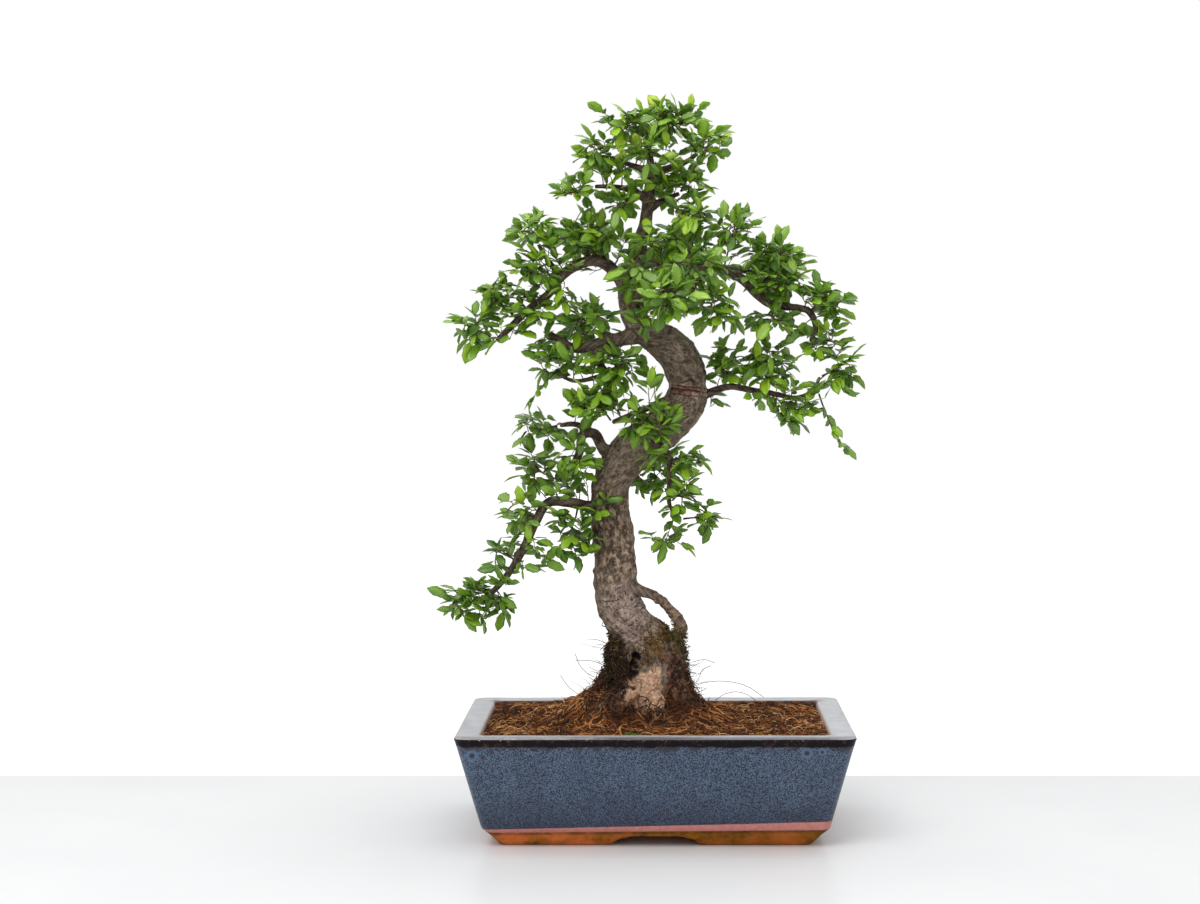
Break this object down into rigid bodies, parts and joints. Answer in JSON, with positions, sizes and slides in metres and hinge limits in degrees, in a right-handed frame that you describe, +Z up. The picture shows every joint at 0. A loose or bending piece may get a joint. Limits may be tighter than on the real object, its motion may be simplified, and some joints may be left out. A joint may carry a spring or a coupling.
{
  "type": "chinese elm bonsai",
  "caption": "S-curved elm bonsai with small leafy sprays on spreading branches, rooted in a fibre soil mound in a rectangular glazed pot with corner feet.",
  "frame": {"origin": "on the surface the pot stands on, below the middle of the box round the whole tree and pot; the pot's own middle lies 5 mm to +X and 4 mm to +Y of it", "axes": "+X to the right of the front view along the pot's long side, +Y to the back, +Z up the tree"},
  "size_m": [0.3598, 0.2344, 0.6048],
  "materials": {
    "pot_glaze": "satin",
    "screen_plastic": "matte",
    "soil": "matte",
    "bark": "matte",
    "leaf": "satin"
  },
  "bodies": {
    "root": {"pot": "pot_glaze", "drain_screen_left": "screen_plastic", "drain_screen_right": "screen_plastic", "soil": "soil", "tree_wood": "bark", "spray_crown_top_left": "leaf", "spray_crown_top_right": "leaf", "spray_crown_top_back": "leaf", "spray_crown_left": "leaf", "spray_crown_right": "leaf", "spray_crown_front": "leaf", "spray_crown_low_left": "leaf", "spray_crown_low_right": "leaf", "spray_crown_low_back": "leaf", "spray_crown_neck_left": "leaf", "spray_shoulder_right_top": "leaf", "spray_shoulder_right_mid": "leaf", "spray_shoulder_left_top": "leaf", "spray_shoulder_left_mid": "leaf", "spray_shoulder_left_low": "leaf", "spray_shoulder_left_back": "leaf", "spray_left_end_top": "leaf", "spray_left_end_tip": "leaf", "spray_left_end_low": "leaf", "spray_centre_top": "leaf", "spray_centre_left": "leaf", "spray_centre_right": "leaf", "spray_centre_front": "leaf", "spray_centre_low_left": "leaf", "spray_centre_low_right": "leaf", "spray_centre_back": "leaf", "spray_back_low": "leaf", "spray_right_shoulder_top": "leaf", "spray_right_shoulder_mid": "leaf", "spray_right_end_top": "leaf", "spray_right_end_low": "leaf", "spray_right_back": "leaf", "spray_left_mid_top": "leaf", "spray_left_mid_end": "leaf", "spray_left_mid_low": "leaf", "spray_left_mid_back": "leaf", "spray_right_mid_top": "leaf", "spray_right_mid_far": "leaf", "spray_right_mid_low": "leaf", "spray_right_mid_tip": "leaf", "spray_front_low_left": "leaf", "spray_front_low_right": "leaf", "spray_low_left_top": "leaf", "spray_low_left_mid": "leaf", "spray_low_left_near": "leaf", "spray_low_left_fork": "leaf", "spray_low_left_under": "leaf", "spray_tail_mid": "leaf", "spray_tail_end": "leaf", "spray_low_right_top": "leaf", "spray_low_right_mid": "leaf", "spray_low_right_end": "leaf", "spray_low_right_low": "leaf", "spray_low_back": "leaf", "spray_right_shoulder_low": "leaf"}
  },
  "joints": []
}
